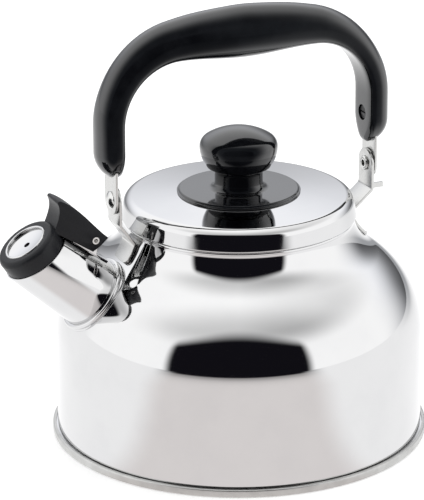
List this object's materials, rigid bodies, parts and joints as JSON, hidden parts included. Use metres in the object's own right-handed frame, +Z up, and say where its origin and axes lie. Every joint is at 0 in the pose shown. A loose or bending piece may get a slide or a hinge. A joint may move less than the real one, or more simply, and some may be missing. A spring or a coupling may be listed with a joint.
{
  "type": "stovetop whistling kettle",
  "caption": "Round stainless steel stovetop kettle with a lift-off lid, a swinging black bail handle, and a sprung whistle flap with a thumb lever on its slanted spout",
  "frame": {"origin": "centre of the flat foot under the base, on the hob's surface", "axes": "+Z up along the body's axis; -X towards the spout; the handle's pivots lie along X"},
  "size_m": [0.2209, 0.189, 0.2209],
  "materials": {
    "polished_steel": "mirror-polished stainless steel",
    "satin_base": "turned satin stainless steel",
    "satin_steel": "satin stainless steel strip",
    "pin_steel": "bright turned steel",
    "dark_screw": "blackened steel",
    "black_plastic": "glossy moulded black phenolic",
    "matte_black_plastic": "satin moulded black plastic",
    "insert_brass": "knurled brass"
  },
  "bodies": {
    "kettle": {"body_shell": "polished_steel", "base_plate": "satin_base", "spout_tube": "polished_steel", "spout_collar": "polished_steel", "hinge_bracket": "polished_steel", "hinge_pin": "pin_steel", "return_spring": "pin_steel", "ear_front": "satin_steel", "ear_rear": "satin_steel", "pivot_rivet_front": "pin_steel", "pivot_rivet_rear": "pin_steel", "pivot_washer_front": "pin_steel", "pivot_washer_rear": "pin_steel"},
    "handle": {"handle_grip": "black_plastic", "handle_strap_front": "satin_steel", "handle_strap_rear": "satin_steel", "grip_screw_front": "dark_screw", "grip_screw_rear": "dark_screw"},
    "lid": {"lid_shell": "polished_steel", "lid_skirt": "polished_steel", "knob": "black_plastic", "knob_seat": "black_plastic", "knob_insert": "insert_brass", "knob_screw": "pin_steel", "knob_washer": "pin_steel"},
    "whistle_flap": {"flap_lever": "matte_black_plastic", "whistle_cup": "polished_steel", "whistle_front_plate": "polished_steel", "whistle_back_plate": "polished_steel"}
  },
  "joints": [
    {"name": "handle_swing", "type": "hinge", "parent": "kettle", "child": "handle", "pos_m": [0, 0, 0.1301], "axis": [1, 0, 0], "range_deg": [-105, 100]},
    {"name": "lid_lift", "type": "slide", "parent": "kettle", "child": "lid", "axis": [0, 0, 1], "range_m": [0, 0.03]},
    {"name": "flap_open", "type": "hinge", "parent": "kettle", "child": "whistle_flap", "pos_m": [-0.0799, 0, 0.1129], "axis": [0, 1, 0], "range_deg": [0, 45], "stiffness_Nm_per_rad": 0.02, "springref_deg": -60.16, "deforming": ["return_spring"]}
  ]
}
